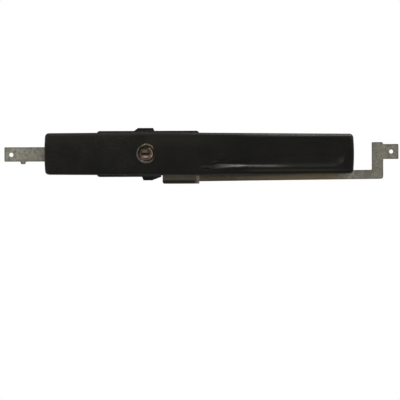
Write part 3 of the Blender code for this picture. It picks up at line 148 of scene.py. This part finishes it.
# Where the right bar runs along the lever
UNDER_LEVER = (ramp("X", 0.043, 0.050), ramp("X", 0.158, 0.190, 1.0, 0.0))
BAR_WEAR = {
    "dull right end": ((0.050, 0.047, 0.037), ramp("X", 0.180, 0.196, 0.0, 0.36)),
}
# The brown film under the lever is partly a stain and partly painted shadow of the lever. It gets lighter to
# the right, where that shadow ends.
BAR_FILM_AND_SHADE = {
    "film and painted shade half way": ((0.092, 0.067, 0.037), ramp("X", 0.075, 0.110)),
    "film and painted shade at the right": ((0.116, 0.090, 0.048), ramp("X", 0.105, 0.145)),
}
LEVER_SHADOW_ON_BAR = {
    # Painted shadow of the lever along the bar's upper edge, weaker towards the right.
    "painted shadow of the lever": (
        (0.0090, 0.0070, 0.0040), *UNDER_LEVER, ramp("Z", -0.0218, -0.0188, 0.0, 0.75),
        ramp("X", 0.085, 0.150, 1.0, 0.30)),
}
BRACKET_CUT_HIGHLIGHT = {
    # A painted highlight on the right end, where the cut edge catches the light.
    "painted highlight on the cut end": ((0.185, 0.166, 0.135), ramp("X", 0.0446, 0.0462)),
}
BRACKET_SHADE = {
    # Painted shadow on the lower fold, which turns under and away from the light.
    "painted shadow on the lower fold": (
        (0.012, 0.011, 0.008), ramp("Z", -0.0244, -0.0232, 0.82, 0.0), ramp("X", 0.0425, 0.0445, 1.0, 0.3)),
}
# Over the bronze ring: an olive tint at the top, then painted light and shade.
RING_TINT_AND_PAINTED_LIGHT = {
    "olive top": ((0.050, 0.049, 0.033), ramp("Z", -0.002, 0.006, 0.0, 0.55)),
    # The left side is painted paler: painted light from the left.
    "painted light on the left": ((0.098, 0.090, 0.080), ramp("X", -0.006, 0.002, 0.45, 0.0)),
    # Painted shade on the ledge inside the left wall.
    "painted shade on the left ledge": (
        (0.018, 0.014, 0.011), band("X", -0.0058, -0.0048, 0.0006), ramp("Z", -0.0040, 0.0010, 0.3, 0.7)),
    # Painted shade on the right side of the ring.
    "painted shade on the right": ((0.016, 0.010, 0.006), ramp("X", 0.0058, 0.0070, 0.0, 0.85)),
    # Painted shadow on the ledge under the top of the ring.
    "painted shadow on the top ledge": (
        (0.022, 0.019, 0.013), band("Z", 0.0044, 0.0054, 0.0005), band("X", -0.0036, 0.0026, 0.0012)),
    # A painted highlight on the top inner wall.
    "painted highlight on the top wall": (
        (0.16, 0.148, 0.110), band("Z", 0.0062, 0.0072, 0.0004), band("X", -0.0020, 0.0016, 0.0014)),
    # A painted glint on the upper right corner.
    "painted glint on the upper corner": (
        (0.22, 0.19, 0.150), band("Z", 0.0044, 0.0056, 0.0008), band("X", 0.0028, 0.0048, 0.0010)),
    # A painted highlight on the right inner wall.
    "painted highlight on the right wall": (
        (0.145, 0.120, 0.098), band("X", 0.0040, 0.0058, 0.0008), band("Z", -0.0024, 0.0046, 0.0014)),
}
# Every patch on the plug's face is painted light or shade.
PLUG_PAINTED_LIGHT_AND_SHADE = {
    # Painted shade over the plug's upper half, under the top of the ring.
    "painted shade on the upper half": ((0.050, 0.042, 0.030), ramp("Z", -0.0015, 0.0010, 0.0, 0.75)),
    # Painted shadow along the top rim.
    "painted shadow at the top rim": ((0.018, 0.015, 0.010), ramp("Z", 0.0034, 0.0044, 0.0, 0.6)),
    # Painted shade at the upper right.
    "painted shade at the upper right": (
        (0.020, 0.016, 0.011), band("X", 0.0018, 0.0028, 0.0008), ramp("Z", -0.0010, 0.0010, 0.0, 0.6)),
    # A painted highlight in the middle, above the keyway.
    "painted highlight in the middle": (
        (0.088, 0.070, 0.059), band("X", -0.0020, -0.0002, 0.0012), band("Z", 0.0012, 0.0024, 0.0009)),
    # A painted highlight below the keyway.
    "painted highlight below the keyway": (
        (0.235, 0.176, 0.150), band("X", -0.0014, 0.0002, 0.0018), band("Z", -0.0032, -0.0026, 0.0009)),
    # Painted shadow along the keyway's lips.
    "painted shadow along the keyway": (
        (0.024, 0.017, 0.012), band("X", -0.0040, 0.0028, 0.0006), band("Z", -0.0014, 0.0006, 0.0005)),
    # Painted shade inside the keyway.
    "painted shade inside the keyway": ((0.052, 0.032, 0.020), ramp("Y", PLUG_FACE + 0.0001, PLUG_FACE + 0.0006)),
}


class Tree:
    """A node tree and what is added to it."""

    def __init__(self, tree):
        self.nodes = tree.nodes
        self.links = tree.links

    def fill(self, node, inputs):
        """Give each input another node's output, or else a value that is set on the socket itself."""
        for name, value in inputs.items():
            if isinstance(value, bpy.types.NodeSocket):
                self.links.new(value, node.inputs[name])
            else:
                node.inputs[name].default_value = value
        return node.outputs

    def add(self, kind, inputs=None):
        return self.fill(self.nodes.new(kind), inputs or {})

    def combine(self, operation, first, second):
        made = self.nodes.new("ShaderNodeMath")
        made.operation = operation
        return self.fill(made, {0: first, 1: second})[0]

    def times(self, first, *others):
        for other in others:
            first = self.combine("MULTIPLY", first, other)
        return first

    def weighed(self, *parts):
        """The sum of values, each times its weight."""
        scaled = [self.times(value, weight) for value, weight in parts]
        total = scaled[0]
        for part in scaled[1:]:
            total = self.combine("ADD", total, part)
        return total

    def spread(self, value, low, high, to_low=0.0, to_high=1.0):
        """Take the part of a value between low and high to another range."""
        made = self.nodes.new("ShaderNodeMapRange")
        made.interpolation_type = "SMOOTHSTEP"
        ends = {"From Min": low, "From Max": high, "To Min": to_low, "To Max": to_high}
        return self.fill(made, {"Value": value, **ends})["Result"]

    def blend(self, share, first, second):
        """The first colour where the share is 0, the second where it is 1."""
        made = self.nodes.new("ShaderNodeMix")
        made.data_type = "RGBA"
        inputs = {"Factor": share, MIX_FIRST: opaque(first), MIX_SECOND: opaque(second)}
        return self.fill(made, inputs)[MIX_RESULT]


class Surface(Tree):
    """A new material, patterned by places on the piece itself."""

    def __init__(self, name):
        self.material = bpy.data.materials.new(name)
        self.material.use_nodes = True
        super().__init__(self.material.node_tree)

    def own(self, what="Object"):
        """The point on the piece itself or, for Normal, the way that the piece faces there."""
        return self.add("ShaderNodeTexCoord")[what]

    def along(self, axis, what="Object"):
        return self.add("ShaderNodeSeparateXYZ", {0: self.own(what)})[axis]

    def place(self, stretch=(1.0, 1.0, 1.0)):
        """The point on the piece, stretched so that a pattern can run along it."""
        return self.add("ShaderNodeMapping", {"Vector": self.own(), "Scale": stretch})["Vector"]

    def noise(self, point, per_metre, detail=3.0, rough=0.55):
        inputs = {"Vector": point, "Scale": per_metre, "Detail": detail, "Roughness": rough}
        return self.add("ShaderNodeTexNoise", inputs)["Fac"]

    def cells(self, point, per_metre, feature="F1"):
        made = self.nodes.new("ShaderNodeTexVoronoi")
        made.feature = feature
        return self.fill(made, {"Vector": point, "Scale": per_metre})

    def share(self, *places):
        """The shares that ramps, bands and slopes give, multiplied."""
        return self.times(*(place(self) for place in places))

    def patched(self, colour, patches):
        """Lay patches over a colour, and label each one's node with its name."""
        for name, (patch, *places) in patches.items():
            colour = self.blend(self.share(*places), colour, patch)
            colour.node.label = name
        return colour

    def edged(self, colour, reach, share, edge):
        """Give the piece's sharp edges, as wide as reach, a share of another colour."""
        inside = self.nodes.new("ShaderNodeAmbientOcclusion")
        inside.inside = True
        inside.only_local = True
        inside.samples = OPEN_SAMPLES
        opening = self.fill(inside, {"Distance": reach})["AO"]
        return self.blend(self.spread(opening, OPEN_AT_EDGE, OPEN_ON_FLAT, share, 0.0), colour, edge)

    def finish(self, colour, roughness, height, depth, strength, constants=None):
        """Feed the shader, with bumps of a depth in metres, and give back the material."""
        bumps = self.add("ShaderNodeBump", {"Strength": strength, "Distance": depth, "Height": height})
        inputs = {"Base Color": colour, "Roughness": roughness, "Normal": bumps["Normal"]}
        self.fill(self.nodes["Principled BSDF"], {**inputs, **(constants or {})})
        return self.material


def lever_colour(surface, point, cloud):
    """Grained and flecked on the left arm, plain on the grip at the right, with painted shade on the arm's
    lower half and painted light, painted highlights and a painted reflection laid over the edges and the
    recess.
    """
    scuffs = surface.noise(surface.place(stretch=(0.12, 1.0, 1.0)), per_metre=900.0, detail=5.0, rough=0.7)
    fleck = surface.noise(point, per_metre=1300.0, detail=2.0)
    wear = surface.weighed((cloud, 1.0), (scuffs, 0.35), (fleck, 0.8))
    tone = surface.spread(wear, 0.94, 1.22)
    # The arm's upper half is painted lighter and its lower half darker: painted shade of the light from
    # above.
    lit_upper_arm = surface.blend(tone, (0.0026, 0.0024, 0.0014), (0.0098, 0.0090, 0.0062))
    shaded_lower_arm = surface.blend(tone, (0.0012, 0.0010, 0.0004), (0.0050, 0.0046, 0.0030))
    arm = surface.blend(surface.share(ramp("Z", -0.004, 0.012, 1.0, 0.0)), lit_upper_arm, shaded_lower_arm)
    arm = surface.patched(arm, LEVER_ARM_PATCHES)
    grip = surface.blend(tone, (0.0010, 0.0008, 0.0002), (0.0030, 0.0027, 0.0016))
    grip = surface.patched(grip, LEVER_GRIP_PATCHES)
    colour = surface.blend(surface.share(ramp("X", -0.006, 0.016)), arm, grip)
    colour = surface.patched(colour, LEVER_PAINTED_LIGHT)
    return surface.edged(colour, reach=0.0006, share=0.4, edge=(0.016, 0.015, 0.012))


def lever_roughness(surface, cloud):
    """Matt on the left arm, smooth on the right, duller along both edges and inside the recess."""
    rough = surface.spread(cloud, *NOISE_SPAN, 0.40, 0.50)
    polish = surface.share(ramp("X", 0.020, 0.085, 0.0, 0.17))
    rough = surface.combine("SUBTRACT", rough, polish)
    wall = surface.share(band("Z", -0.0125, -0.0050, 0.002))
    bright = surface.times(wall, surface.share(band("X", 0.076, 0.108, 0.008)), 0.04)
    rough = surface.combine("SUBTRACT", rough, bright)
    dull = surface.times(wall, surface.share(band("X", 0.135, 0.160, 0.022)), 0.34)
    rough = surface.combine("ADD", rough, dull)
    top_edge = surface.share(ramp("Z", 0.0158, 0.0170), ramp("X", 0.010, 0.070, 0.24, 0.0))
    rough = surface.combine("ADD", rough, top_edge)
    low_edge = surface.share(ramp("Z", -0.0168, -0.0156, 1.0, 0.0))
    dulled = surface.combine("ADD", surface.share(ramp("X", -0.020, 0.010, 0.25, 0.15)),
                             surface.share(ramp("X", 0.020, 0.110, 0.0, 0.27)))
    return surface.combine("ADD", rough, surface.times(low_edge, dulled))


def lever_plastic(name):
    """Black moulded plastic, grained on the arm and worn smooth on the grip."""
    surface = Surface(name)
    point = surface.place()
    grain = surface.cells(point, per_metre=2600.0, feature="SMOOTH_F1")["Distance"]
    cloud = surface.noise(point, per_metre=38.0, detail=4.0)
    height = surface.times(grain, surface.share(ramp("X", 0.020, 0.085, 1.0, 0.3)))
    return surface.finish(lever_colour(surface, point, cloud), lever_roughness(surface, cloud),
                          height, depth=0.00005, strength=0.35, constants=PLASTIC)


def housing_plastic(name, dark, light):
    """Black plastic or coating with a fine grain, paler along its edges."""
    surface = Surface(name)
    point = surface.place()
    grain = surface.noise(point, per_metre=2200.0, detail=2.0)
    cloud = surface.noise(point, per_metre=55.0, detail=4.0)
    colour = surface.blend(surface.spread(cloud, 0.35, 0.7), dark, light)
    colour = surface.edged(colour, reach=0.0006, share=0.5, edge=tinted(light, 2.2))
    roughness = surface.spread(cloud, *NOISE_SPAN, 0.48, 0.6)
    return surface.finish(colour, roughness, grain, depth=0.00006, strength=0.4, constants=PLASTIC)


def zinc_colour(surface, dark, light, spangle):
    """Zinc coated steel: flat crystals of differing shade under a faint drawn grain."""
    point = surface.place()
    warp = surface.noise(point, per_metre=260.0)
    crystals = surface.cells(point, per_metre=spangle)["Color"]
    shade = surface.add("ShaderNodeSeparateColor", {0: crystals})[0]
    drawn = surface.noise(surface.place(stretch=(0.04, 1.0, 1.0)), per_metre=1500.0, detail=4.0, rough=0.6)
    stain = surface.noise(point, per_metre=45.0, detail=5.0, rough=0.6)
    mottle = surface.weighed((shade, 0.45), (warp, 0.55))
    mottle = surface.weighed((mottle, 0.75), (drawn, 0.25))
    colour = surface.blend(surface.spread(mottle, 0.25, 0.75), dark, light)
    colour = surface.blend(surface.spread(stain, 0.56, 0.72, 0.0, 0.4), colour, tinted(dark, 0.62))
    # The edges are painted darker: painted shade of rounded sheared edges that turn away from the light.
    return mottle, surface.edged(colour, reach=0.0022, share=0.55, edge=tinted(dark, 0.55))


def finish_zinc(surface, mottle, colour):
    roughness = surface.spread(mottle, 0.2, 0.8, 0.42, 0.58)
    return surface.finish(colour, roughness, mottle, depth=0.00008, strength=0.35, constants=METAL)


def plate_zinc(name):
    surface = Surface(name)
    mottle, colour = zinc_colour(surface, (0.17, 0.165, 0.15), (0.32, 0.31, 0.28), spangle=300.0)
    return finish_zinc(surface, mottle, colour)


def bar_zinc(name):
    """Bright at the left bar's tip, dull at the right one's; under the lever a brown film that is partly a
    stain and partly painted shadow of the lever, with more painted shadow along the lever's lower edge.
    """
    surface = Surface(name)
    mottle, colour = zinc_colour(surface, (0.118, 0.111, 0.091), (0.207, 0.198, 0.164), spangle=520.0)
    colour = surface.patched(colour, BAR_WEAR)
    smear = surface.noise(surface.place(stretch=(0.25, 1.0, 1.0)), per_metre=160.0, detail=4.0, rough=0.6)
    # Where the bar runs under the lever: a brown stain with painted shadow of the lever.
    film_and_shade = surface.times(surface.share(*UNDER_LEVER), surface.spread(smear, *NOISE_SPAN, 0.66, 0.84))
    colour = surface.blend(film_and_shade, colour, surface.patched((0.041, 0.028, 0.0130), BAR_FILM_AND_SHADE))
    colour = surface.patched(colour, LEVER_SHADOW_ON_BAR)
    return finish_zinc(surface, mottle, colour)


def bracket_steel(name):
    """Dull drawn steel, with a painted highlight on its cut end at the right and a painted shadow along its
    lower fold.
    """
    surface = Surface(name)
    drawn = surface.noise(surface.place(stretch=(0.05, 1.0, 1.0)), per_metre=1300.0, detail=4.0)
    cloud = surface.noise(surface.place(), per_metre=90.0, detail=4.0, rough=0.6)
    mottle = surface.weighed((cloud, 0.7), (drawn, 0.3))
    colour = surface.blend(surface.spread(mottle, *NOISE_SPAN), (0.066, 0.059, 0.046), (0.094, 0.083, 0.066))
    colour = surface.patched(colour, BRACKET_CUT_HIGHLIGHT)
    colour = surface.edged(colour, reach=0.0006, share=0.5, edge=(0.16, 0.148, 0.120))
    colour = surface.patched(colour, BRACKET_SHADE)
    roughness = surface.spread(mottle, *NOISE_SPAN, 0.46, 0.6)
    return surface.finish(colour, roughness, mottle, depth=0.00006, strength=0.35, constants=METAL)


def metal(name, dark, light, roughness_range, patches):
    """Bronze, bright steel or zinc plated steel: clouded, fine grained and brighter along its edges."""
    surface = Surface(name)
    point = surface.place()
    cloud = surface.noise(point, per_metre=240.0, detail=4.0, rough=0.6)
    fine = surface.noise(point, per_metre=2400.0, detail=2.0)
    mottle = surface.weighed((cloud, 0.75), (fine, 0.25))
    colour = surface.blend(surface.spread(mottle, 0.32, 0.68), dark, light)
    colour = surface.edged(colour, reach=0.0004, share=0.35, edge=tinted(light, 1.5))
    colour = surface.patched(colour, patches)
    roughness = surface.spread(cloud, *NOISE_SPAN, *roughness_range)
    return surface.finish(colour, roughness, fine, depth=0.00003, strength=0.3, constants=METAL)


def resin(name):
    surface = Surface(name)
    cloud = surface.noise(surface.place(), per_metre=160.0)
    colour = surface.blend(surface.spread(cloud, *NOISE_SPAN), (0.50, 0.47, 0.38), (0.58, 0.55, 0.46))
    roughness = surface.spread(cloud, *NOISE_SPAN, 0.45, 0.58)
    return surface.finish(colour, roughness, cloud, depth=0.00005, strength=0.3)


# Each material slot of the record: the function that makes it, and what that function is told
SLOTS = {
    "lever_black_plastic": (lever_plastic,),
    "housing_black_plastic": (housing_plastic, (0.0050, 0.0047, 0.0042), (0.0078, 0.0073, 0.0062)),
    "rotor_black_coat": (housing_plastic, (0.0052, 0.0050, 0.0045), (0.0086, 0.0080, 0.0070)),
    "bar_galvanised_steel": (bar_zinc,),
    "plate_galvanised_steel": (plate_zinc,),
    "bracket_dull_steel": (bracket_steel,),
    "cylinder_bronze": (metal, (0.042, 0.034, 0.027), (0.092, 0.074, 0.058), (0.30, 0.46), RING_TINT_AND_PAINTED_LIGHT),
    "plug_bright_bronze": (metal, (0.085, 0.055, 0.043), (0.14, 0.094, 0.075), (0.28, 0.42), PLUG_PAINTED_LIGHT_AND_SHADE),
    "spindle_bright_steel": (metal, (0.30, 0.29, 0.27), (0.42, 0.41, 0.39), (0.26, 0.42), {}),
    "fastener_zinc_steel": (metal, (0.34, 0.335, 0.30), (0.50, 0.49, 0.45), (0.28, 0.45), {}),
    "bush_pale_resin": (resin,),
}


def dress_nodes():
    surfaces = {slot: make(slot, *told) for slot, (make, *told) in SLOTS.items()}
    for row in frame["record"]["subparts"]:
        item = frame["nodes"][row["node"]]
        item.data.materials.clear()
        item.data.materials.append(surfaces[row["material_slot"]])


def rounded_shading():
    """A modifier group that joins the facets and keeps only their sharp edges."""
    group = bpy.data.node_groups.new("rounded_shading", "GeometryNodeTree")
    for in_out in ("INPUT", "OUTPUT"):
        group.interface.new_socket("Geometry", in_out=in_out, socket_type="NodeSocketGeometry")
    tree = Tree(group)
    start = tree.add("NodeGroupInput")[0]
    bare = tree.add("GeometryNodeRemoveAttribute", {"Geometry": start, "Name": "custom_normal"})[0]
    weld = tree.add("GeometryNodeMergeByDistance", {"Geometry": bare, "Distance": WELD})[0]
    smooth = tree.add("GeometryNodeSetShadeSmooth", {"Geometry": weld})[0]
    angle = tree.add("GeometryNodeInputMeshEdgeAngle")["Unsigned Angle"]
    edges = tree.nodes.new("GeometryNodeSetShadeSmooth")
    edges.domain = "EDGE"
    round_edges = tree.combine("LESS_THAN", angle, SHARP_ANGLE)
    end = tree.fill(edges, {"Geometry": smooth, "Shade Smooth": round_edges})[0]
    tree.add("NodeGroupOutput", {0: end})
    return group


def soften_nodes():
    group = rounded_shading()
    for item in frame["nodes"].values():
        step = item.modifiers.new("rounded_shading", "NODES")
        step.node_group = group
        flats = item.modifiers.new("level_flats", "WEIGHTED_NORMAL")
        flats.keep_sharp = True


def seen_by_eye(tree):
    """1 for camera, glossy and transmission rays, 0 for the rays that only carry light."""
    path = tree.add("ShaderNodeLightPath")
    seen = tree.combine("MAXIMUM", path["Is Camera Ray"], path["Is Glossy Ray"])
    return tree.combine("MAXIMUM", seen, path["Is Transmission Ray"])


def build_world():
    world = bpy.data.worlds.new("studio")
    bpy.context.scene.world = world
    world.use_nodes = True
    tree = Tree(world.node_tree)
    tree.nodes.clear()
    room = tree.add("ShaderNodeBackground", {"Color": opaque(WARM_WHITE), "Strength": ROOM_LIGHT})
    white = tree.add("ShaderNodeBackground", {"Color": opaque(WHITE), "Strength": 1.0})
    mix = tree.add("ShaderNodeMixShader", {0: seen_by_eye(tree), 1: room[0], 2: white[0]})
    tree.add("ShaderNodeOutputWorld", {"Surface": mix[0]})


def floor_material():
    """White to the eye, duller only near its middle, plain grey for light, and clear from below."""
    floor = Surface("studio_floor")
    floor.nodes.clear()
    length = floor.nodes.new("ShaderNodeVectorMath")
    length.operation = "LENGTH"
    distance = floor.fill(length, {0: floor.own()})["Value"]
    lit = floor.add("ShaderNodeBsdfDiffuse", {"Color": opaque(FLOOR_SEEN)})
    glow = floor.add("ShaderNodeEmission", {"Strength": floor.spread(distance, *FLOOR_GLOW)})
    seen = floor.add("ShaderNodeAddShader", {0: lit[0], 1: glow[0]})
    plain = floor.add("ShaderNodeBsdfDiffuse", {"Color": opaque(FLOOR_FOR_LIGHT)})
    above = floor.add("ShaderNodeMixShader", {0: seen_by_eye(floor), 1: plain[0], 2: seen[0]})
    below = floor.add("ShaderNodeBsdfTransparent")
    side = floor.add("ShaderNodeNewGeometry")["Backfacing"]
    both = floor.add("ShaderNodeMixShader", {0: side, 1: above[0], 2: below[0]})
    floor.add("ShaderNodeOutputMaterial", {"Surface": both[0]})
    return floor.material


def build_floor():
    mesh = bpy.data.meshes.new("studio_floor")
    corners = [(-1, -1), (1, -1), (1, 1), (-1, 1)]
    mesh.from_pydata([(x * FLOOR_HALF, y * FLOOR_HALF, 0.0) for x, y in corners], [], [(0, 1, 2, 3)])
    floor = bpy.data.objects.new("studio_floor", mesh)
    floor.location = (VIEW_CENTRE.x, 0.0, FLOOR_LEVEL)
    mesh.materials.append(floor_material())
    bpy.context.scene.collection.objects.link(floor)


def add_lamp(name, stand, size, watts, colour):
    """An area lamp that faces the part and keeps its first side along X."""
    lamp = bpy.data.lights.new(name, "AREA")
    lamp.shape = "RECTANGLE"
    lamp.size, lamp.size_y = size
    lamp.energy = watts
    lamp.color = colour
    made = bpy.data.objects.new(name, lamp)
    back = (Vector(stand) - Vector((VIEW_CENTRE.x, 0.0, 0.0))).normalized()
    side = Vector((1.0, 0.0, 0.0))
    side = (side - back * side.dot(back)).normalized()
    turn = Matrix((side, back.cross(side), back)).transposed()
    made.matrix_world = Matrix.Translation(stand) @ turn.to_4x4()
    bpy.context.scene.collection.objects.link(made)


def build_lamps():
    for name, facts in LAMPS.items():
        add_lamp(name, *facts)


def build_camera():
    data = bpy.data.cameras.new("camera")
    data.sensor_width = VIEW_SENSOR
    data.lens = VIEW_LENS
    data.clip_end = VIEW_END
    camera = bpy.data.objects.new("camera", data)
    reach = VIEW_WIDTH * VIEW_LENS / VIEW_SENSOR
    look = Matrix.Rotation(math.radians(90.0), 4, "X") @ Matrix.Rotation(-VIEW_ROLL, 4, "Z")
    camera.matrix_world = Matrix.Translation(VIEW_CENTRE + Vector((0.0, -reach, 0.0))) @ look
    bpy.context.scene.collection.objects.link(camera)
    bpy.context.scene.camera = camera


dress_nodes()
soften_nodes()
build_world()
build_floor()
build_lamps()
build_camera()
bpy.context.scene.view_settings.view_transform = "Standard"
